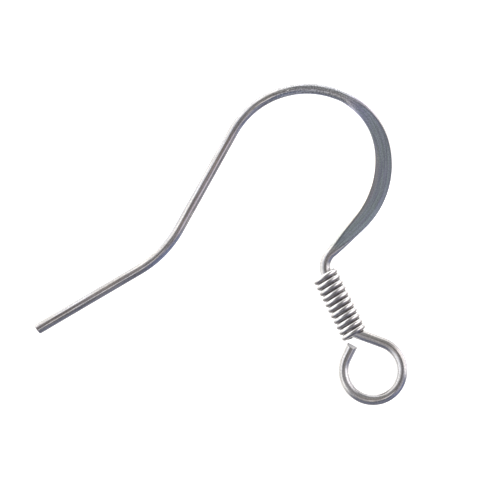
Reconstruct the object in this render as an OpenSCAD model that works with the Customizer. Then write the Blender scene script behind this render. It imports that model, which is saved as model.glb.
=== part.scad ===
// Ear wire: a fish-hook earring wire, pressed flat along the front of its arc, with a
// close-wound coil of finer wire on its shank and an open loop below for the drop.
// Millimetres. It lies on the table as seen from above: +X right, +Y towards the top of
// the arc, +Z up off the table.

/* [Wire] */
// Diameter of the round wire the hook is bent from
wire_d = 0.70; // [0.60:0.05:0.80]

/* [Tail] */
// Heading of the tail from its tip, as the hook lies
tail_heading = 30.4; // [20:0.1:40]
// Straight free end, from its tip to the first bend
tail_len = 7.55; // [5:0.05:10]
// Slant of the cut across the tip
tip_slant = 8; // [0:1:15]
// Radius of the bend between tail and stem, on the wire's centreline
tail_bend_r = 6.95; // [4:0.05:9]
// How far that bend turns
tail_turn = 30.5; // [15:0.5:40]

/* [Arc] */
// Straight stem that rises behind the ear
stem_len = 7.05; // [5:0.05:9]
// Radius of the crown, over the ear
crown_r = 5.38; // [4.5:0.01:6.5]
// How far the crown turns
crown_turn = 93.9; // [88:0.1:100]
// Radius of the tighter brow in front of the ear
brow_r = 4.29; // [3.5:0.01:5.5]
// How far the brow turns
brow_turn = 46.2; // [38:0.1:52]
// Radius of the cheek, where the front runs back in
cheek_r = 5.55; // [4.5:0.01:6.5]
// How far the cheek turns
cheek_turn = 54.4; // [48:0.1:60]
// Straight front below the cheek
front_len = 2.70; // [2:0.05:3.5]

/* [Pressed blade] */
// Widest the wire is pressed out, seen from the face
blade_w = 1.13; // [0.9:0.01:1.2]
// Length of crown that is already pressed, before the brow
blade_lead = 0.65; // [0.3:0.05:1.2]
// Share of the blade's length at which it is widest
blade_peak = 0.55; // [0.4:0.01:0.6]
// Fullness of the blade's swell: 1 is a plain sine, less is fuller
blade_full = 0.75; // [0.6:0.05:1]

/* [Neck] */
// Radius of the bend from the blade down into the coil
neck_r = 1.27; // [1:0.01:1.6]
// How far the neck turns
neck_turn = 68; // [60:0.5:76]
// Turns of the coil that the neck's bend reaches down into
neck_turns = 0.92; // [0.75:0.01:1.1]

/* [Coil] */
// Diameter of the finer wire the coil is wound from
coil_wire_d = 0.385; // [0.32:0.005:0.41]
// Turns in the coil
coil_turns = 11; // [6:1:14]
// Radial play between the hook's wire and the inside of the coil
coil_play = 0.150; // [0.135:0.005:0.2]
// Air between one turn and the next
turn_gap = 0.011; // [0.01:0.001:0.05]
// Lean of the loose coil on the wire inside it, as a share of what its play allows
coil_lean = 0.55; // [0.4:0.01:0.65]
// Extra winding at the coil's lower end, past its last full turn
coil_tail = 54; // [30:1:60]

/* [Loop] */
// Radius of the bend where the wire leaves the coil
exit_r = 0.62; // [0.6:0.01:0.8]
// How far that bend turns
exit_turn = 45.5; // [40:0.5:48]
// Turns of the coil that the exit's bend reaches up into
exit_turns = 1.75; // [1.5:0.01:1.8]
// Straight link from the exit bend to the loop
link_len = 1.82; // [1.5:0.01:2.5]
// Inside diameter of the loop that holds the drop
loop_bore = 3.04; // [2.6:0.02:3.4]
// How far the loop closes before it eases open
loop_turn = 259.7; // [250:0.1:268]
// Radius of the eased stretch at the loop's end
ease_r = 2.04; // [1.8:0.01:3]
// How far the eased stretch turns
ease_turn = 16.7; // [8:0.1:20]
// Straight last stretch, up to the pinched end
end_len = 0.84; // [0.5:0.01:0.9]
// Angle between each pinched facet and the wire's centreline
pinch_angle = 60; // [45:1:80]

/* [Hidden] */
wire_r = wire_d/2;
coil_wire_r = coil_wire_d/2;
coil_pitch = coil_wire_d + turn_gap;
coil_r = wire_r + coil_play + coil_wire_r;      // of the coil wire's own centreline
coil_sweep = coil_turns*360 + coil_tail;
coil_rise = coil_pitch*coil_sweep/360;          // between the centres of the coil's two ends
neck_reach = neck_turns*coil_pitch;
exit_reach = exit_turns*coil_pitch;
shank_len = coil_turns*coil_pitch + coil_wire_d - neck_reach - exit_reach;
lean_angle = coil_lean*asin(2*coil_play/coil_rise);
loop_r = loop_bore/2 + wire_r;
wire_sides = 24;                                // round the hook's wire
bend_steps = 64;                                // in a full turn of a bend
coil_sides = 8;                                 // round the coil's wire
coil_steps = 22;                                // in one turn of the coil
blade_steps = 48;
bend_draw = 0.0035;                             // bending draws the wire this much thinner
press_draw = 0.0084;                            // and so does pressing, at the blade's two ends
lap = 0.02;                                     // how far each thinner stretch runs into its neighbour

// The wire's centreline: each leg is a straight run, then a bend of a radius and a turn,
// to the left where the turn is positive.
run = 0; radius = run + 1; turn = radius + 1;
legs = [
    [tail_len,  tail_bend_r, tail_turn],
    [stem_len,  crown_r,    -crown_turn],
    [0,         brow_r,     -brow_turn],
    [0,         cheek_r,    -cheek_turn],
    [front_len, neck_r,      neck_turn],
    [shank_len, exit_r,      exit_turn],
    [link_len,  loop_r,     -loop_turn],
    [0,         ease_r,     -ease_turn]];
tail = 0; stem = tail + 1; brow = stem + 1; cheek = brow + 1;
front = cheek + 1; shank = front + 1; link = shank + 1; ease = link + 1;

// A pose is [x, y, heading]. Moves along a straight, and round a bend.
function ahead(p, d) = [p.x + d*cos(p.z), p.y + d*sin(p.z), p.z];
function centre_of(p, r, t) = [p.x - sign(t)*r*sin(p.z), p.y + sign(t)*r*cos(p.z)];
function swung(p, r, t) =
    let (c = centre_of(p, r, t))
    [c.x + sign(t)*r*sin(p.z + t), c.y - sign(t)*r*cos(p.z + t), p.z + t];
function bend_start(i) = ahead(starts[i], legs[i][run]);
function arc_len(g) = g[radius]*abs(g[turn])*PI/180;

// Pose at the start of each leg, and after the last one
starts = [for (i = 0, p = [0, 0, tail_heading]; i <= len(legs);
    p = i < len(legs) ? swung(ahead(p, legs[i][run]), legs[i][radius], legs[i][turn]) : p,
    i = i + 1) p];

// Pose a distance past the start of the bend or straight it falls in
function along(i, s) =
    s < legs[i][run] ? ahead(starts[i], s)
    : s <= legs[i][run] + arc_len(legs[i])
        ? swung(bend_start(i), legs[i][radius],
            sign(legs[i][turn])*(s - legs[i][run])/legs[i][radius]*180/PI)
    : along(i + 1, s - legs[i][run] - arc_len(legs[i]));

// The pressed blade runs from late in the crown to the foot of the straight front.
lead_turn = blade_lead/crown_r*180/PI;
blade_from = stem_len + arc_len(legs[stem]) - blade_lead;
blade_len = blade_lead + arc_len(legs[brow]) + arc_len(legs[cheek]) + front_len;

// Swell from 0 at the blade's ends to 1 at its widest, and the widths that follow from it.
// Pressing keeps the wire's area, so the thickness falls as the width grows.
function swell(u) = pow(sin(180*pow(u, ln(0.5)/ln(blade_peak))), blade_full);
blade_end_d = wire_d - press_draw;
function width_at(u) = blade_end_d + (blade_w - blade_end_d)*(u <= 0 || u >= 1 ? 0 : swell(u));
corner_loss = 1 - PI/4;
blade_area = PI*pow(blade_end_d/2, 2);
function thickness_for(w) = (w - sqrt(w*w - 4*corner_loss*blade_area))/(2*corner_loss);

// Section with flat faces and rolled edges, round where the width is the wire's own
function section(w) = let (t = thickness_for(w))
    [for (k = [0:wire_sides - 1]) let (a = (k + 0.5)*360/wire_sides)
        [sign(cos(a))*(w - t)/2 + t/2*cos(a), t/2*sin(a)]];

// Faces of a skin over rings of equal count, closed at both ends
function skin(rings, n) = concat(
    [[for (k = [0:n - 1]) k]],
    [for (j = [0:rings - 2]) for (k = [0:n - 1])
        [j*n + k, (j + 1)*n + k, (j + 1)*n + (k + 1) % n, j*n + (k + 1) % n]],
    [[for (k = [n - 1:-1:0]) (rings - 1)*n + k]]);

// Where the coil sits: its middle is the middle of what the shank's two reaches leave.
shank_mid = ahead(starts[shank], (coil_rise + coil_wire_d)/2 - neck_reach);
coil_heading = starts[shank].z + lean_angle;

// At rest the hook touches the table at its tail's tip and under the crown, and the fatter
// coil props it up: the line it tilts about is the tangent from the tip to the crown.
// The loose coil itself settles level, so it sags out of the hook's plane by that much.
crown_c = centre_of(bend_start(stem), crown_r, -crown_turn);
rest_bearing = atan2(crown_c.y, crown_c.x) + asin(crown_r/norm(crown_c));
prop_reach = shank_mid.x*sin(rest_bearing) - shank_mid.y*cos(rest_bearing);
rest_tilt = asin((coil_r + coil_wire_r - wire_r)/prop_reach);
coil_sag = atan(-sin(coil_heading - rest_bearing)*tan(rest_tilt));

// The outline reaches from the corner of the tail's tip to the farthest points of the bends.
bend_points = [for (i = [0:len(legs) - 1]) for (k = [0:bend_steps])
    swung(bend_start(i), legs[i][radius], legs[i][turn]*k/bend_steps)];
x_low = -wire_r*(sin(tail_heading) + cos(tail_heading)*tan(tip_slant));
x_high = max([for (p = bend_points) p.x]) + wire_r;
y_low = min([for (p = bend_points) p.y]) - wire_r;
y_high = max([for (p = bend_points) p.y]) + wire_r;

module at_rest()
    translate([-(x_low + x_high)/2, -(y_low + y_high)/2, wire_r])
        rotate(a = -rest_tilt, v = [cos(rest_bearing), sin(rest_bearing), 0])
            children();

module straight(p, len, drawn = 0)
    translate([p.x, p.y, 0]) rotate([0, 90, p.z]) rotate(180/wire_sides)
        cylinder(d = wire_d - drawn, h = len, $fn = wire_sides);

// A bend, run on by lap_in before its start and lap_out past its end
module bend(p, r, t, lap_in = lap, lap_out = lap, drawn = bend_draw) {
    c = centre_of(p, r, t);
    before = (t > 0 ? lap_in : lap_out)/r*180/PI;
    after = (t > 0 ? lap_out : lap_in)/r*180/PI;
    translate([c.x, c.y, 0]) rotate((t > 0 ? p.z - 90 : p.z + 90 + t) - before)
        rotate_extrude(angle = before + abs(t) + after, $fn = bend_steps)
            translate([r, 0]) rotate(180/wire_sides)
                circle(d = wire_d - drawn, $fn = wire_sides);
}

module leg_run(i) straight(starts[i], legs[i][run]);
module leg_bend(i, lap_in = lap, lap_out = lap, drawn = bend_draw)
    bend(bend_start(i), legs[i][radius], legs[i][turn], lap_in, lap_out, drawn);

// The tail's straight end, cut across at a slant
module tail_end() difference() {
    straight(ahead(starts[tail], -wire_d), tail_len + wire_d);
    translate([0, 0, -wire_d]) rotate(tail_heading + 90 + tip_slant)
        translate([-wire_d, 0]) cube([2*wire_d, 2*wire_d, 2*wire_d]);
}

module blade() {
    places = [-lap/blade_len, each [for (j = [0:blade_steps]) j/blade_steps], 1 + lap/blade_len];
    rings = [for (u = places) let (p = along(stem, blade_from + u*blade_len))
        [for (q = section(width_at(u)))
            [p.x - q.x*sin(p.z), p.y + q.x*cos(p.z), q.y]]];
    polyhedron([for (r = rings) each r], skin(len(rings), wire_sides));
}

// The last stretch, nipped off by cutters that leave two facets meeting in a ridge
module pinched_end() {
    p = starts[len(legs)];
    back = wire_r/tan(pinch_angle);
    intersection() {
        straight(ahead(p, -lap), end_len + lap, bend_draw);
        translate([p.x, p.y, 0]) rotate(p.z) rotate([90, 0, 0])
            linear_extrude(2*wire_d, center = true)
                polygon([[-wire_r, -wire_d], [end_len - 2*back, -wire_d],
                    [end_len, 0], [end_len - 2*back, wire_d], [-wire_r, wire_d]]);
    }
}

module hook_wire() color("silver") at_rest() union() {
    tail_end();
    leg_bend(tail);
    leg_run(stem);
    bend(bend_start(stem), crown_r, -(crown_turn - lead_turn), lap_out = 0);
    blade();
    leg_bend(front, lap_in = 0);
    leg_run(shank);
    leg_bend(shank);
    leg_run(link);
    leg_bend(link);
    leg_bend(ease, lap_in = 0, lap_out = 0, drawn = 0);
    pinched_end();
}

// The coil winds down its own axis from behind the shank, to the side that leaves each
// turn higher on the right in front.
module coil() color("gainsboro") at_rest()
    translate([shank_mid.x, shank_mid.y, 0]) rotate([0, coil_sag, coil_heading]) {
        count = ceil(coil_sweep/360*coil_steps);
        slope = coil_pitch/(2*PI*coil_r);
        lay = 1/sqrt(1 + slope*slope);
        rings = [for (j = [0:count]) let (a = j*coil_sweep/count)
            [for (k = [0:coil_sides - 1]) let (b = k*360/coil_sides,
                    out = coil_r + coil_wire_r*cos(b), up = coil_wire_r*sin(b)*lay)
                [-coil_rise/2 + coil_rise*j/count - up,
                 out*sin(a) + up*slope*cos(a),
                 -out*cos(a) + up*slope*sin(a)]]];
        polyhedron([for (r = rings) each r], skin(len(rings), coil_sides));
    }

hook_wire();
coil();
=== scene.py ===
import math

import bpy
from mathutils import Matrix, Vector


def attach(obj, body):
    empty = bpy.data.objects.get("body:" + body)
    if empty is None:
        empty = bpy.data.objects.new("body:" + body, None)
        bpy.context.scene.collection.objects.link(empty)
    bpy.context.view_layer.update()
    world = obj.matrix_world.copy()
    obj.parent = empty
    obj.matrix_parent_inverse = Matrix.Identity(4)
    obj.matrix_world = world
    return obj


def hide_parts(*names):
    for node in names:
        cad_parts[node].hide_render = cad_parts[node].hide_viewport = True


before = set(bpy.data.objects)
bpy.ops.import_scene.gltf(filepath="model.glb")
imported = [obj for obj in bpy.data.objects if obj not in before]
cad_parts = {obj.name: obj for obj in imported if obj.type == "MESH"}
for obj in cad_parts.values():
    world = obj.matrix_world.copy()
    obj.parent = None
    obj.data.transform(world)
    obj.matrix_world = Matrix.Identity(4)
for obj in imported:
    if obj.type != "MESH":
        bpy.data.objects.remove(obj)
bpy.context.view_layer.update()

# Sizes, in millimetres and degrees. The wires are drawn round the same line as the solids.
MM = 0.001
WIRE_D = 0.70
TAIL_HEADING = 30.4
TIP_SLANT = 8
BLADE_W = 1.13
BLADE_LEAD = 0.65
BLADE_PEAK = 0.55
BLADE_FULL = 0.75
COIL_WIRE_D = 0.385
COIL_TURNS = 11
COIL_TAIL = 54
COIL_PLAY = 0.150
COIL_LEAN = 0.55
TURN_GAP = 0.011
NECK_TURNS = 0.92
EXIT_TURNS = 1.75
END_LEN = 0.84
PINCH_ANGLE = 60

WIRE_R = WIRE_D/2
COIL_WIRE_R = COIL_WIRE_D/2
COIL_PITCH = COIL_WIRE_D + TURN_GAP
COIL_R = WIRE_R + COIL_PLAY + COIL_WIRE_R
COIL_SWEEP = COIL_TURNS*360 + COIL_TAIL
COIL_RISE = COIL_PITCH*COIL_SWEEP/360
NECK_REACH = NECK_TURNS*COIL_PITCH
EXIT_REACH = EXIT_TURNS*COIL_PITCH
TURN_LEN = math.hypot(2*math.pi*COIL_R, COIL_PITCH)
SHANK_LEN = COIL_TURNS*COIL_PITCH + COIL_WIRE_D - NECK_REACH - EXIT_REACH
LOOP_R = 3.04/2 + WIRE_R

# The wire's line: a straight run, then a bend of a radius and a turn, left where positive
RUN, RADIUS, TURN = 0, 1, 2
LEGS = {
    "tail":  (7.55,      6.95,    30.5),
    "stem":  (7.05,      5.38,   -93.9),
    "brow":  (0,         4.29,   -46.2),
    "cheek": (0,         5.55,   -54.4),
    "front": (2.70,      1.27,    68),
    "shank": (SHANK_LEN, 0.62,    45.5),
    "link":  (1.82,      LOOP_R, -259.7),
    "ease":  (0,         2.04,   -16.7),
}

# Fineness of the meshes
WIRE_COLUMNS = 64
COIL_COLUMNS = 28
COIL_STEPS = 72                 # in one turn of the coil
RING_STEP = 0.085               # along the wire
BEND_STEP = 2.5                 # degrees, where that is finer
EDGE_STEPS = 5                  # over a worn or nipped edge
SHARP_ANGLE = 50                # degrees, past which an edge isn't shaded smooth
SLIM = 0.0035                   # so much inside the solids, so that no vertex stands out

# Worn edges
TIP_WEAR = 0.055
PINCH_WEAR = 0.03
COIL_WEAR = 0.03

# How square the pressed section gets: 2 is round. Its outer side squares up slowly from the
# blade's start, its inner side at once; towards the neck the inner side rounds off first.
ROUND, SQUARE = 2, 12
OUTER_FROM, OUTER_TO = 5.5, 8.5
INNER_FROM, INNER_TO = 2.0, 6.2
# Where the section counts as the pressed face: how far spread, and how level in degrees
FACE_FROM_TO = 0.08, 0.40
LEVEL_FROM_TO = 4, 24


# The wire's line

def ahead(p, d):
    """The pose (x, y, heading) a distance further along a straight."""
    x, y, h = p
    return (x + d*math.cos(math.radians(h)), y + d*math.sin(math.radians(h)), h)


def centre_of(p, r, t):
    """The centre of a bend of radius r that starts at pose p and turns by t."""
    x, y, h = p
    side = math.copysign(1, t)
    return (x - side*r*math.sin(math.radians(h)), y + side*r*math.cos(math.radians(h)))


def swung(p, r, t):
    """The pose at the end of a bend of radius r through t degrees."""
    if t == 0:
        return p
    side = math.copysign(1, t)
    cx, cy = centre_of(p, r, t)
    h = p[2] + t
    return (cx + side*r*math.sin(math.radians(h)), cy - side*r*math.cos(math.radians(h)), h)


def arc_len(name):
    """Length of a leg's bend."""
    return LEGS[name][RADIUS]*math.radians(abs(LEGS[name][TURN]))


def leg_starts():
    """The pose at the start of each leg, and after the last one as "end"."""
    starts, p = {}, (0, 0, TAIL_HEADING)
    for name, (run, radius, turn) in LEGS.items():
        starts[name] = p
        p = swung(ahead(p, run), radius, turn)
    starts["end"] = p
    return starts


STARTS = leg_starts()
BEND_STARTS = {name: ahead(STARTS[name], leg[RUN]) for name, leg in LEGS.items()}


def wire_line():
    """Poses along the wire as (length run, pose), and the length at its last bend's end."""
    line, s = [], 0.0
    for name, (run, radius, turn) in LEGS.items():
        count = math.ceil(run/RING_STEP)
        line += [(s + run*k/count, ahead(STARTS[name], run*k/count)) for k in range(count)]
        s += run
        arc = arc_len(name)
        count = math.ceil(max(arc/RING_STEP, abs(turn)/BEND_STEP))
        line += [(s + arc*k/count, swung(BEND_STARTS[name], radius, turn*k/count))
                 for k in range(count)]
        s += arc
    return line, s


# The pressed blade

def length_to(name):
    """Length of wire before a leg."""
    total = 0.0
    for other, leg in LEGS.items():
        if other == name:
            return total
        total += leg[RUN] + arc_len(other)


BLADE_FROM = length_to("brow") - BLADE_LEAD
BLADE_LEN = BLADE_LEAD + arc_len("brow") + arc_len("cheek") + LEGS["front"][RUN]


def pressed_at(s):
    """How far the press has spread the wire, 0 to 1, at a length along it."""
    u = (s - BLADE_FROM)/BLADE_LEN
    if u <= 0 or u >= 1:
        return 0.0
    return math.sin(math.pi*u**(math.log(0.5)/math.log(BLADE_PEAK)))**BLADE_FULL


def squareness_at(s, start, end):
    """Of one side of the blade, which is square between two lengths past the blade's start."""
    s -= BLADE_FROM
    share = min(1, max(0, s/start), max(0, (BLADE_LEN - s)/(BLADE_LEN - end)))
    return ROUND + (SQUARE - ROUND)*share**2


def quarter(a, n):
    """A quarter of a section, half as wide as a: (across, up, slope) from the side to the top."""
    fill = math.gamma(1 + 1/n)**2/math.gamma(1 + 2/n)
    b = math.pi*WIRE_R**2/(4*a*fill)
    fine = 240
    arc = []
    for k in range(fine + 1):
        c, s = math.cos(math.pi/2*k/fine), math.sin(math.pi/2*k/fine)
        arc.append((a*max(c, 0)**(2/n), b*s**(2/n)))
    marks, leans = [0.0], [math.pi/2]
    for (x0, y0), (x1, y1) in zip(arc, arc[1:]):
        leans.append(math.atan2(y1 - y0, x0 - x1))
        marks.append(marks[-1] + math.hypot(x1 - x0, y1 - y0)
                     + WIRE_R*abs(leans[-1] - leans[-2]))
    found, j = [], 0
    count = WIRE_COLUMNS//4
    for i in range(count):
        want = marks[-1]*i/count
        while marks[j + 1] < want:
            j += 1
        f = (want - marks[j])/(marks[j + 1] - marks[j])
        found.append((arc[j][0] + f*(arc[j + 1][0] - arc[j][0]),
                      arc[j][1] + f*(arc[j + 1][1] - arc[j][1]),
                      leans[j] + f*(leans[j + 1] - leans[j])))
    return found + [(0.0, b, 0.0)]


def section(s):
    """Points (across, up, flat, rim) round the wire at a length along it. Flat is 1 on the
    pressed face, and rim is 1 along its edges."""
    pressed = pressed_at(s)
    a = WIRE_R + (BLADE_W/2 - WIRE_R)*pressed
    outer = quarter(a, squareness_at(s, OUTER_FROM, OUTER_TO))
    inner = quarter(a, squareness_at(s, INNER_FROM, INNER_TO))
    top = (outer[-1][1] + inner[-1][1])/2
    outer = [(x, y*top/outer[-1][1], lean) for x, y, lean in outer]
    inner = [(-x, y*top/inner[-1][1], lean) for x, y, lean in inner]
    upper = outer + inner[-2:0:-1]
    lower = [(x, -y, lean) for x, y, lean in inner + outer[-2:0:-1]]
    on_face = smooth(pressed, *FACE_FROM_TO)
    found = []
    for x, y, lean in upper + lower:
        level = 1 - smooth(math.degrees(lean), *LEVEL_FROM_TO)
        found.append((x, y, on_face*level, on_face*4*level*(1 - level)))
    return found


def smooth(value, low, high):
    """A smooth step from 0 at low to 1 at high."""
    f = min(1, max(0, (value - low)/(high - low)))
    return f*f*(3 - 2*f)


# How the ear wire lies

SHANK_MID = ahead(STARTS["shank"], (COIL_RISE + COIL_WIRE_D)/2 - NECK_REACH)
LEAN_ANGLE = COIL_LEAN*math.degrees(math.asin(2*COIL_PLAY/COIL_RISE))
COIL_HEADING = STARTS["shank"][2] + LEAN_ANGLE


def resting():
    """The matrix that lays the hook's plane on the table, in metres, and the coil's sag."""
    crown_x, crown_y = centre_of(BEND_STARTS["stem"], LEGS["stem"][RADIUS], LEGS["stem"][TURN])
    bearing = math.atan2(crown_y, crown_x) \
        + math.asin(LEGS["stem"][RADIUS]/math.hypot(crown_x, crown_y))
    reach = SHANK_MID[0]*math.sin(bearing) - SHANK_MID[1]*math.cos(bearing)
    tilt = math.asin((COIL_R + COIL_WIRE_R - WIRE_R)/reach)
    sag = math.atan(-math.sin(math.radians(COIL_HEADING) - bearing)*math.tan(tilt))
    outline = [swung(BEND_STARTS[name], leg[RADIUS], leg[TURN]*k/64)
               for name, leg in LEGS.items() for k in range(65)]
    heading, slant = math.radians(TAIL_HEADING), math.radians(TIP_SLANT)
    x_low = -WIRE_R*(math.sin(heading) + math.cos(heading)*math.tan(slant))
    x_high = max(p[0] for p in outline) + WIRE_R
    y_low = min(p[1] for p in outline) - WIRE_R
    y_high = max(p[1] for p in outline) + WIRE_R
    axis = Vector((math.cos(bearing), math.sin(bearing), 0))
    place = Matrix.Translation((-(x_low + x_high)/2, -(y_low + y_high)/2, WIRE_R)) \
        @ Matrix.Rotation(-tilt, 4, axis)
    return Matrix.Scale(MM, 4) @ place, sag


AT_REST, COIL_SAG = resting()


# Meshes

class Skin:
    """A closed skin over rings of equal count, with the grain's own coordinates at each vertex."""

    def __init__(self, columns, place):
        self.columns, self.place = columns, place
        self.points, self.grain, self.flat, self.rim, self.cut = [], [], [], [], []
        self.faces, self.uvs = [], []
        self.rings, self.last_s = 0, 0.0

    def ring(self, points, s, around, cut=0.0):
        """Adds a ring: its points, the length along the wire, and each point's own values."""
        for p, (across, up, flat, rim) in zip(points, around):
            self.points.append(self.place @ Vector(p))
            self.grain.append((s, across, up))
            self.flat.append(flat)
            self.rim.append(rim)
            self.cut.append(cut)
        n, j = self.columns, self.rings
        if j:
            for k in range(n):
                self.faces.append(((j - 1)*n + k, (j - 1)*n + (k + 1) % n,
                                   j*n + (k + 1) % n, j*n + k))
                self.uvs.append(((self.last_s, k/n), (self.last_s, (k + 1)/n),
                                 (s, (k + 1)/n), (s, k/n)))
        self.last_s = s
        self.rings += 1

    def cap_fan(self, point, s, first):
        """Closes the first or last ring with a fan round a point."""
        n = self.columns
        self.points.append(self.place @ Vector(point))
        self.grain.append((s, 0, 0))
        self.flat.append(0.0)
        self.rim.append(0.0)
        self.cut.append(1.0)
        tip, base = len(self.points) - 1, 0 if first else (self.rings - 1)*n
        for k in range(n):
            pair = (base + (k + 1) % n, base + k) if first else (base + k, base + (k + 1) % n)
            self.faces.append((*pair, tip))
            self.uvs.append(((s, k/n), (s, (k + 1)/n), (s, (k + 0.5)/n)))

    def cap_strips(self, s):
        """Closes the last ring with strips that join its points at equal heights."""
        n, base = self.columns, (self.rings - 1)*self.columns
        for k in range(n//4):
            for a, b, c, d in ((k, k + 1, n//2 - k - 1, n//2 - k),
                               (n//2 + k, n//2 + k + 1, n - k - 1, (n - k) % n)):
                corners = [a, b, c, d] if b != c else [a, b, d]
                self.faces.append(tuple(base + i for i in corners))
                self.uvs.append(tuple((s, i/n) for i in corners))

    def build(self, name):
        mesh = bpy.data.meshes.new(name)
        mesh.from_pydata(self.points, [], self.faces)
        grain = mesh.attributes.new("grain", "FLOAT_VECTOR", "POINT")
        grain.data.foreach_set("vector", [c for g in self.grain for c in g])
        for layer, values in (("flat", self.flat), ("rim", self.rim),
                              ("cut", self.cut)):
            mesh.attributes.new(layer, "FLOAT", "POINT").data.foreach_set("value", values)
        layer = mesh.uv_layers.new(name="UVMap")
        layer.data.foreach_set("uv", [c for face in self.uvs for s, v in face for c in (s/60, v)])
        mesh.shade_smooth()
        mesh.set_sharp_from_angle(angle=math.radians(SHARP_ANGLE))
        mesh.validate()
        piece = bpy.data.objects.new(name, mesh)
        bpy.context.scene.collection.objects.link(piece)
        return piece


def worn(wear):
    """Over a rounded edge, from on its flat end out to the side: (inset, setback, share cut)."""
    turns = [math.pi/2*k/EDGE_STEPS for k in range(EDGE_STEPS)]
    return [(1.25*wear, 0, 1)] + [(wear*(1 - math.sin(a)), wear*(1 - math.cos(a)),
                                   math.cos(a)**2) for a in turns]


def hook_wire():
    skin = Skin(WIRE_COLUMNS, AT_REST)

    def ring_at(pose, s, inset=0.0, cut=0.0, shift=lambda across, up: 0.0):
        h = math.radians(pose[2])
        points, around = [], []
        for across, up, flat, rim in section(s):
            size = 1 - (inset + SLIM)/math.hypot(across, up)
            across, up = across*size, up*size
            d = shift(across, up)
            points.append((pose[0] + d*math.cos(h) - across*math.sin(h),
                           pose[1] + d*math.sin(h) + across*math.cos(h), up))
            around.append((across, up, flat, rim))
        skin.ring(points, s, around, cut)

    def slant(across, up):
        return -across*math.tan(math.radians(TIP_SLANT))

    def pinch(across, up):
        return -abs(up)/math.tan(math.radians(PINCH_ANGLE))

    tip = STARTS["tail"]
    for inset, back, cut in worn(TIP_WEAR):
        ring_at(ahead(tip, back), back, inset=inset, cut=cut, shift=slant)
    line, end_s = wire_line()
    for s, pose in line:
        if s == 0:
            s, pose = TIP_WEAR, ahead(tip, TIP_WEAR)
        square_up = max(0, 1 - (s - TIP_WEAR)/0.6)
        ring_at(pose, s, shift=lambda a, u: square_up*slant(a, u))

    end = STARTS["end"]
    straight = END_LEN - PINCH_WEAR
    count = math.ceil(straight/RING_STEP)
    for k in range(count + 1):
        share = k/count
        ring_at(ahead(end, straight*share), end_s + straight*share,
                shift=lambda a, u: share**4*pinch(a, u))
    for inset, back, cut in reversed(worn(PINCH_WEAR)):
        ring_at(ahead(end, END_LEN - back), end_s + END_LEN - back, inset=inset, cut=cut,
                shift=pinch)
    skin.cap_strips(end_s + END_LEN)
    skin.cap_fan((0, 0, 0), 0, first=True)
    return skin.build("hook_wire_drawn")


def coil():
    place = AT_REST @ Matrix.Translation((SHANK_MID[0], SHANK_MID[1], 0)) \
        @ Matrix.Rotation(math.radians(COIL_HEADING), 4, "Z") @ Matrix.Rotation(COIL_SAG, 4, "Y")
    skin = Skin(COIL_COLUMNS, place)
    slope = COIL_PITCH/(2*math.pi*COIL_R)
    lay = 1/math.sqrt(1 + slope*slope)
    wire_len = math.radians(COIL_SWEEP)*COIL_R/lay

    def place_of(s):
        return s/wire_len*math.radians(COIL_SWEEP), -COIL_RISE/2 + COIL_RISE*s/wire_len

    def ring_at(s, inset=0.0, cut=0.0):
        a, along = place_of(s)
        points, around = [], []
        r = COIL_WIRE_R - SLIM - inset
        for k in range(COIL_COLUMNS):
            b = 2*math.pi*k/COIL_COLUMNS
            out, up = COIL_R + r*math.cos(b), r*math.sin(b)*lay
            points.append((along - up,
                           out*math.sin(a) + up*slope*math.cos(a),
                           -out*math.cos(a) + up*slope*math.sin(a)))
            around.append((r*math.cos(b), r*math.sin(b), 0.0, 0.0))
        skin.ring(points, s, around, cut)

    def middle_of(s):
        a, along = place_of(s)
        return (along, COIL_R*math.sin(a), -COIL_R*math.cos(a))

    for inset, back, cut in worn(COIL_WEAR):
        ring_at(back, inset, cut)
    body = wire_len - 2*COIL_WEAR
    count = math.ceil(COIL_SWEEP/360*COIL_STEPS)
    for k in range(count + 1):
        ring_at(COIL_WEAR + body*k/count)
    for inset, back, cut in reversed(worn(COIL_WEAR)):
        ring_at(wire_len - back, inset, cut)
    skin.cap_fan(middle_of(wire_len), wire_len, first=False)
    skin.cap_fan(middle_of(0), 0, first=True)
    return skin.build("coil_drawn")


# Shader nodes

class Graph:
    """Short calls for joining shader nodes. Each value is a number or a node's output."""

    def __init__(self, tree):
        self.tree = tree
        tree.nodes.clear()

    def node(self, kind, inputs=None, **settings):
        made = self.tree.nodes.new(kind)
        for name, value in settings.items():
            setattr(made, name, value)
        for key, value in (inputs or {}).items():
            self.feed(made.inputs[key], value)
        return made

    def feed(self, socket, value):
        if isinstance(value, bpy.types.NodeSocket):
            self.tree.links.new(value, socket)
        else:
            socket.default_value = value

    def calc(self, operation, a, b=0.0, c=0.0, clamp=False):
        """One step of arithmetic; clamp keeps its result from 0 to 1."""
        made = self.node("ShaderNodeMath", {0: a, 1: b, 2: c}, operation=operation)
        made.use_clamp = clamp
        return made.outputs[0]

    def rise(self, value, low, high):
        """A smooth step from 0 at low to 1 at high; high may be the smaller one."""
        if low > high:
            return self.calc("SUBTRACT", 1.0, self.rise(value, high, low))
        made = self.node("ShaderNodeMapRange", {0: value, 1: low, 2: high},
                         interpolation_type="SMOOTHSTEP")
        return made.outputs[0]

    def mix(self, share, a, b, blend="MIX"):
        made = self.node("ShaderNodeMix", data_type="RGBA", blend_type=blend)
        made.clamp_factor = True
        for key, value in ((0, share), (6, a), (7, b)):
            self.feed(made.inputs[key], value)
        return made.outputs[2]

    def noise(self, vector, scale, detail=3.0, rough=0.5, stretch=(1, 1, 1), shift=(0, 0, 0)):
        at = self.node("ShaderNodeMapping", {"Vector": vector, "Scale": stretch,
                                             "Location": shift}).outputs[0]
        made = self.node("ShaderNodeTexNoise", {"Vector": at, "Scale": scale,
                                                "Detail": detail, "Roughness": rough})
        return made.outputs[0]


def tone_of(red, green, blue):
    return (red, green, blue, 1)


def grey(g, value):
    return g.node("ShaderNodeCombineColor", {0: value, 1: value, 2: value}).outputs[0]


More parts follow.
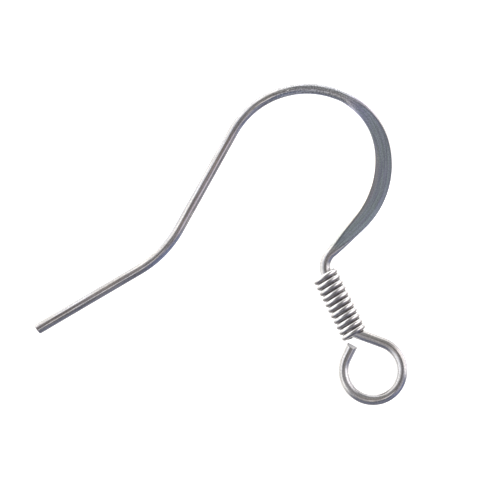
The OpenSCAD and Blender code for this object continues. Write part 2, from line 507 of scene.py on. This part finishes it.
def band(g, value, edges):
    """1 between the middle two of four edges and 0 past the outer two. Two edges give one
    step, from 0 at the first to 1 at the second."""
    step = g.rise(value, edges[0], edges[1])
    if len(edges) == 2:
        return step
    return g.calc("MULTIPLY", step, g.rise(value, edges[3], edges[2]))


def patch(g, u, v, u_edges, v_edges):
    """The share of a patch on a wire, within edges along u and across v. Either may be empty."""
    bands = [band(g, value, edges) for value, edges in ((u, u_edges), (v, v_edges)) if edges]
    return bands[0] if len(bands) == 1 else g.calc("MULTIPLY", *bands)


def tinted(g, tone, u, v, tints):
    """The tone with a list of tints on it, which paint highlights and shade, each with its edges
    along u and across v.
    """
    for u_edges, v_edges, tint in tints:
        other = g.mix(1.0, tone, tone_of(*tint), "MULTIPLY")
        tone = g.mix(patch(g, u, v, u_edges, v_edges), tone, other)
    return tone


# Steels

# Tints on the hook wire, which paint highlights, reflections and shade into its tone. Each has its
# edges along the wire, in mm from the tip, its edges across the wire, in mm towards the hook's
# inner side, and the factor by which it changes the tone.
TAIL = (8.5, 7.0)
TAIL_BEND = (7.2, 8.6, 11.0, 11.9)
STEM = (10.4, 11.6, 17.7, 18.9)
HOOK_PAINTED_LIGHT = (
    # Painted shade: the tail is a little darker on both sides of its crest line
    (TAIL, (-0.20, -0.10, 0.0, 0.04), (0.92, 0.87, 0.85)),
    (TAIL, (0.07, 0.11, 0.18, 0.25), (0.95, 0.90, 0.82)),
    # Painted shade on its bend past the crest, and a bluer painted reflection at the side
    (TAIL_BEND, (0.0, 0.05, 0.14, 0.20), (0.80, 0.80, 0.83)),
    (TAIL_BEND, (0.14, 0.20), (0.94, 0.98, 1.04)),
    # Painted reflection tints: the stem is warmer, and yellower in a band on its inner side
    (STEM, (-0.12, 0.0), (1.05, 0.985, 0.96)),
    (STEM, (0.11, 0.22, 0.25, 0.31), (0.98, 0.995, 0.84)),
    # A painted reflection tint on the crown before the blade and a painted highlight on its inner
    # side;
    # the blade starts with a lighter painted highlight
    ((21.0, 23.0, 26.5, 28.0), (), (0.97, 1.0, 1.04)),
    ((23.0, 24.5, 26.2, 27.4), (0.10, 0.16, 0.25, 0.31), (1.24, 1.20, 1.06)),
    ((26.4, 27.2, 28.0, 29.6), (), (1.13, 1.12, 1.24)),
    # Painted highlights: the blade's foot and edges are paler, the inner edge warmer and the outer
    # one bluer
    ((33.8, 35.2, 37.8, 38.6), (), (1.08, 1.12, 1.07)),
    ((30.0, 31.5, 36.2, 37.2), (0.22, 0.32), (1.13, 1.04, 0.97)),
    ((32.0, 33.5, 36.8, 37.8), (-0.22, -0.32), (1.13, 1.14, 1.20)),
    # A warm painted highlight at the loop's foot
    ((51.08, 51.28, 51.44, 51.64), (-0.11, -0.06, -0.02, 0.03), (1.45, 1.40, 1.32)),
)
# A bright painted highlight stripe along the stem, and a small matt nick on the crown, with their
# own tones
STEM_HIGHLIGHT = (STEM, (0.065, 0.10, 0.155, 0.195), (1.0, 0.94, 0.97))
NICK = ((22.73, 22.78, 22.86, 22.91), (-0.05, -0.02, -0.01, 0.02), (0.92, 0.90, 0.87))

# Tints on the coil, which paint its shade and highlights. The first edges are shares of a turn,
# which is at the coil's right at 0.25, on top at 0.5 and at its left at 0.75. The others are mm
# towards the coil's upper end.
COIL_TOP = (0.455, 0.49, 0.53, 0.57)
COIL_PAINTED_LIGHT = (
    # Painted shade on the side of each turn that faces the loop
    ((), (0.02, -0.12), (0.415, 0.395, 0.39)),
    # On top the painted shade is broader and less deep, and the other side gets a painted
    # highlight
    (COIL_TOP, (-0.12, -0.03, 0.03, 0.08), (0.64, 0.64, 0.64)),
    (COIL_TOP, (-0.10, -0.16), (1.2, 1.2, 1.2)),
    ((0.455, 0.48, 0.56, 0.61), (0.07, 0.10), (1.16, 1.16, 1.16)),
    # At the left the painted shade is darker, and at the right it is a thin line
    ((0.605, 0.69), (0.11, -0.04), (0.33, 0.32, 0.32)),
    ((0.20, 0.26, 0.345, 0.42), (-0.06, -0.14), (0.38, 0.37, 0.37)),
)

PECKED = (20.5, 23.0, 25.5, 28.0)       # mm from the tip, where the crown has more specks
FACE_STREAKS = 0.22                     # how strong the drawn lines are on a pressed face
RIM_SHADE = 0.4                         # painted shade: how much darker the pressed face's edges are
CUT_TONE = (0.86, 0.85, 0.84)
# Painted shade round the worn edge of a cut face
CUT_EDGE_SHADE = (0.25, 0.245, 0.24)
CUT_MATT = 0.7                          # how much less metallic a cut face or a nick is
CUT_ROUGH, FACE_ROUGH = 0.35, 0.08      # how much rougher a cut face and a pressed face are


def hook_painted_light_and_nick(g, tone, length, across, up):
    """The tone with painted highlights and painted shade on it, and the share of the matt nick."""
    inward = g.calc("MULTIPLY", across, -1.0)
    tone = tinted(g, tone, length, inward, HOOK_PAINTED_LIGHT)
    for u_edges, v_edges, mark_tone in (STEM_HIGHLIGHT, NICK):
        share = patch(g, length, inward, u_edges, v_edges)
        tone = g.mix(share, tone, tone_of(*mark_tone))
    return tone, share


def coil_painted_light(g, tone, length, across, up):
    """The tone with painted shade and painted highlights on it. The coil has no nick."""
    turn = g.calc("FRACT", g.calc("DIVIDE", length, TURN_LEN))
    return tinted(g, tone, turn, up, COIL_PAINTED_LIGHT), 0.0


def steel(name, tones, face_tones, marks, grain_depth, roughness, streaks, peck=0.0):
    """Bright drawn steel: lines along the wire, faint patches of tone, small nicks, and painted
    highlights and painted shade. A pressed face is duller, with fine ribs and painted shade along
    its edges, and a cut end is matt."""
    material = bpy.data.materials.new(name)
    material.use_nodes = True
    g = Graph(material.node_tree)
    grain = g.node("ShaderNodeAttribute", attribute_name="grain").outputs["Vector"]
    on_face, on_rim, on_cut = (g.node("ShaderNodeAttribute", attribute_name=layer).outputs["Fac"]
                               for layer in ("flat", "rim", "cut"))
    length, across, up = g.node("ShaderNodeSeparateXYZ", {0: grain}).outputs

    # Patterns that follow the wire, so many to the millimetre along, across and up
    broad = g.noise(grain, 1.0, 2.0, stretch=(0.4, 3.2, 3.2))
    lines = g.noise(grain, 1.0, 3.0, 0.6, stretch=(0.45, 10, 10), shift=(3, 1, 7))
    hairs = g.noise(grain, 1.0, 2.0, 0.5, stretch=(1.6, 45, 45), shift=(9, 4, 2))
    specks = g.noise(grain, 11.0, 2.0, 0.6, shift=(1, 5, 3))
    ribs = g.noise(grain, 1.0, 2.0, 0.5, stretch=(0.6, 15, 1), shift=(5, 2, 0))

    # Tone, with painted highlights and painted shade from the marks function
    tone = g.mix(g.rise(broad, 0.40, 0.60), *tones)
    tone = g.mix(on_face, tone, g.mix(g.rise(ribs, 0.40, 0.60), *face_tones))
    tone, nick = marks(g, tone, length, across, up)
    streak = g.calc("SUBTRACT", g.rise(lines, 0.36, 0.64), 0.5)
    fleck = g.calc("SUBTRACT", g.rise(specks, 0.35, 0.65), 0.5)
    streak_depth = g.calc("MULTIPLY_ADD", on_face, FACE_STREAKS - streaks, streaks)
    fleck_depth = g.calc("MULTIPLY_ADD", band(g, length, PECKED), peck, 0.2)
    shade = g.calc("MULTIPLY_ADD", streak, streak_depth, 1.0)
    shade = g.calc("MULTIPLY_ADD", fleck, fleck_depth, shade)
    # Painted shade along the pressed face's edges
    shade = g.calc("MULTIPLY", shade, g.calc("MULTIPLY_ADD", on_rim, -RIM_SHADE, 1.0))
    tone = g.mix(1.0, tone, grey(g, shade), "MULTIPLY")
    tone = g.mix(on_cut, tone, tone_of(*CUT_TONE))
    # Painted shade round the worn edge between a cut face and the wire's side
    cut_edge_shade = g.calc("MULTIPLY", on_cut, g.calc("SUBTRACT", 1.0, on_cut))
    tone = g.mix(g.calc("MULTIPLY", cut_edge_shade, 2.4), tone, tone_of(*CUT_EDGE_SHADE))

    # Relief, roughness and metal
    height = g.calc("ADD", lines, g.calc("MULTIPLY", hairs, 0.3))
    height = g.calc("MULTIPLY_ADD", specks, 0.3, height)
    bump = g.node("ShaderNodeBump", {"Strength": 1.0, "Distance": grain_depth*MM,
                                     "Height": height}).outputs[0]
    rough = g.calc("MULTIPLY_ADD", g.calc("SUBTRACT", lines, 0.5), 0.12, roughness)
    rough = g.calc("MULTIPLY_ADD", on_face, FACE_ROUGH, rough)
    rough = g.calc("MULTIPLY_ADD", on_cut, CUT_ROUGH, rough)
    metal = g.calc("MULTIPLY_ADD", g.calc("ADD", on_cut, nick), -CUT_MATT, 1.0)
    shader = g.node("ShaderNodeBsdfPrincipled",
                    {"Base Color": tone, "Metallic": metal, "Roughness": rough, "Normal": bump})
    g.node("ShaderNodeOutputMaterial", {"Surface": shader.outputs[0]})
    return material


def wire_steel():
    return steel("wire_steel",
                 tones=(tone_of(0.608, 0.608, 0.627), tone_of(0.650, 0.635, 0.620)),
                 face_tones=(tone_of(0.485, 0.535, 0.675), tone_of(0.52, 0.62, 0.675)),
                 marks=hook_painted_light_and_nick, grain_depth=0.004, roughness=0.10, streaks=0.36, peck=0.28)


def coil_steel():
    tones = (tone_of(0.85, 0.845, 0.85), tone_of(0.88, 0.86, 0.845))
    return steel("coil_steel", tones=tones, face_tones=tones, marks=coil_painted_light,
                 grain_depth=0.0015, roughness=0.04, streaks=0.22)


# Stage, light and camera

TABLE_INNER, TABLE_FLAT, TABLE_BEND, TABLE_WALL = 0.10, 0.34, 0.08, 0.30    # metres
TABLE_COLUMNS = 96
TABLE_PAINT = (0.75, 0.75, 0.76)
TABLE_GLOW = 0.9                        # so that it is as white as a lit photo table


def floor():
    """A round white table that turns up into a backdrop all round."""
    flat, bend, wall, columns = TABLE_FLAT, TABLE_BEND, TABLE_WALL, TABLE_COLUMNS
    profile = [(0.0, 0.0), (TABLE_INNER, 0.0), (flat, 0.0)]
    profile += [(flat + bend*math.sin(math.radians(a)), bend*(1 - math.cos(math.radians(a))))
                for a in range(10, 91, 10)]
    profile.append((flat + bend, bend + wall))
    points, faces = [(0, 0, 0)], []
    for r, z in profile[1:]:
        points += [(r*math.cos(2*math.pi*k/columns), r*math.sin(2*math.pi*k/columns), z)
                   for k in range(columns)]
    for k in range(columns):
        faces.append((0, 1 + k, 1 + (k + 1) % columns))
        for j in range(len(profile) - 2):
            a, b = 1 + j*columns, 1 + (j + 1)*columns
            faces.append((a + k, b + k, b + (k + 1) % columns, a + (k + 1) % columns))
    mesh = bpy.data.meshes.new("table")
    mesh.from_pydata(points, [], faces)
    mesh.shade_smooth()
    table = bpy.data.objects.new("table", mesh)
    bpy.context.scene.collection.objects.link(table)
    material = bpy.data.materials.new("table_white")
    material.use_nodes = True
    g = Graph(material.node_tree)
    paint = g.node("ShaderNodeBsdfDiffuse", {"Color": tone_of(*TABLE_PAINT)})
    glow = g.node("ShaderNodeEmission", {"Color": tone_of(1, 1, 1), "Strength": TABLE_GLOW})
    both = g.node("ShaderNodeAddShader", {0: paint.outputs[0], 1: glow.outputs[0]})
    g.node("ShaderNodeOutputMaterial", {"Surface": both.outputs[0]})
    mesh.materials.append(material)
    table.visible_glossy = False


LIGHT = 1.5                             # brightness of white in the room
# Soft lamps: bearing and zenith angle, full within and nothing past so many degrees, and tone
LAMPS = (
    (239, 27, 8, 27, (0.335, 0.325, 0.335)),
    (299, 17, 3, 6.5, (0.86, 0.84, 0.84)),
    (330, 46, 6, 16, (0.40, 0.37, 0.385)),
)
# Tones of the room
OVERHEAD = (0.213, 0.200, 0.198)
CEILING = (0.156, 0.166, 0.212)
BACK_WALL = (0.212, 0.209, 0.207)
CORNER = (0.188, 0.203, 0.285)
LEFT_PANEL_TOP = (0.66, 0.66, 0.665)
LEFT_PANEL_FOOT = (0.84, 0.83, 0.825)
LEFT_PANEL_FRONT = (0.955, 0.943, 0.937)
RIGHT_PANEL = (1.1, 1.05, 1.06)
PANEL_GAP = (0.36, 0.35, 0.37)
TABLE_BELOW = (0.88, 0.868, 0.86)


def toward(bearing, zenith):
    b, z = math.radians(bearing), math.radians(zenith)
    return Vector((math.sin(z)*math.cos(b), math.sin(z)*math.sin(b), math.cos(z)))


def off_bearing(g, x, y, bearing):
    """Angle round the zenith from a bearing, in degrees from -180 to 180."""
    c, s = math.cos(math.radians(bearing)), math.sin(math.radians(bearing))
    ahead_of = g.calc("ADD", g.calc("MULTIPLY", x, c), g.calc("MULTIPLY", y, s))
    beside = g.calc("SUBTRACT", g.calc("MULTIPLY", y, c), g.calc("MULTIPLY", x, s))
    return g.calc("DEGREES", g.calc("ARCTAN2", beside, ahead_of))


def left_panel(g, x, y, zenith):
    """The big panel on the left, and which part of it is its front. Its upper edge runs down
    from the left to the back."""
    off = off_bearing(g, x, y, 170)
    share = g.calc("DIVIDE", g.calc("SUBTRACT", 40, off), 140, clamp=True)
    edge = g.calc("MULTIPLY_ADD", g.calc("POWER", share, 1.6), 66, 20)
    edge = g.calc("MINIMUM", edge, 73)
    below = g.rise(g.calc("SUBTRACT", zenith, edge), -12, 20)
    sides = band(g, off, (-150, -110, 34, 68))
    return g.calc("MULTIPLY", below, sides), g.rise(off, -35, 30)


def right_panel(g, x, y, zenith):
    sides = band(g, off_bearing(g, x, y, 18), (-38, -11, 10, 46))
    return g.calc("MULTIPLY", sides, g.rise(zenith, 22, 54))


def panel_gap(g, x, y, zenith):
    """The dim gap between the right panel's foot and the table."""
    sides = band(g, off_bearing(g, x, y, 20), (-55, -20, 30, 65))
    heights = band(g, zenith, (97, 107, 122, 140))
    return g.calc("MULTIPLY", sides, g.calc("MULTIPLY", heights, 0.75))


def table_glow(g, x, y, zenith):
    """The lit table below, which reaches higher at the front."""
    near_front = band(g, off_bearing(g, x, y, 280), (-50, -18, 45, 75))
    return g.rise(g.calc("MULTIPLY_ADD", near_front, -14, zenith), 100, 132)


def studio():
    """Soft panels to the left and right, a dim ceiling and a dim blue room in front."""
    world = bpy.data.worlds.new("studio")
    bpy.context.scene.world = world
    world.use_nodes = True
    g = Graph(world.node_tree)
    way = g.node("ShaderNodeTexCoord").outputs["Generated"]
    x, y, z = g.node("ShaderNodeSeparateXYZ", {0: way}).outputs
    zenith = g.calc("DEGREES", g.calc("ARCCOSINE", z))

    tone = g.mix(g.rise(zenith, 14, 42), tone_of(*OVERHEAD), tone_of(*CEILING))
    back = band(g, off_bearing(g, x, y, 70), (-80, -40, 40, 80))
    tone = g.mix(g.calc("MULTIPLY", back, g.rise(zenith, 5, 30)), tone, tone_of(*BACK_WALL))
    corner = band(g, off_bearing(g, x, y, 325), (-30, -8, 8, 30))
    tone = g.mix(g.calc("MULTIPLY", corner, g.rise(zenith, 22, 44)), tone, tone_of(*CORNER))
    for bearing, height, full, reach, lamp_tone in LAMPS:
        off = g.node("ShaderNodeVectorMath", {0: way, 1: toward(bearing, height)},
                     operation="DOT_PRODUCT").outputs[1]
        lamp = g.rise(off, math.cos(math.radians(reach)), math.cos(math.radians(full)))
        tone = g.mix(lamp, tone, tone_of(*lamp_tone))
    left, front_share = left_panel(g, x, y, zenith)
    left_tone = g.mix(g.rise(zenith, 35, 95), tone_of(*LEFT_PANEL_TOP), tone_of(*LEFT_PANEL_FOOT))
    left_tone = g.mix(front_share, tone_of(*LEFT_PANEL_FRONT), left_tone)
    tone = g.mix(left, tone, left_tone)
    tone = g.mix(right_panel(g, x, y, zenith), tone, tone_of(*RIGHT_PANEL))
    tone = g.mix(panel_gap(g, x, y, zenith), tone, tone_of(*PANEL_GAP))
    tone = g.mix(table_glow(g, x, y, zenith), tone, tone_of(*TABLE_BELOW))
    light = g.node("ShaderNodeBackground", {"Color": tone, "Strength": LIGHT})
    g.node("ShaderNodeOutputWorld", {"Surface": light.outputs[0]})


VIEW_CENTRE = (1.883*MM, -0.362*MM)
VIEW_WIDTH = 31.85*MM
LENS, SENSOR = 300, 36


def camera():
    data = bpy.data.cameras.new("camera")
    data.lens, data.sensor_width = LENS, SENSOR
    data.clip_start, data.clip_end = 0.01, 10
    eye = bpy.data.objects.new("camera", data)
    eye.location = (*VIEW_CENTRE, VIEW_WIDTH*LENS/SENSOR + 0.5*MM)
    bpy.context.scene.collection.objects.link(eye)
    bpy.context.scene.camera = eye


def main():
    for build, node, slot, material in ((hook_wire, "hook_wire", "wire_steel", wire_steel()),
                                        (coil, "coil", "coil_steel", coil_steel())):
        piece = build()
        piece.data.materials.append(material)
        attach(piece, "root")
        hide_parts(node)
    floor()
    studio()
    camera()
    bpy.context.scene.view_settings.view_transform = "Standard"


main()
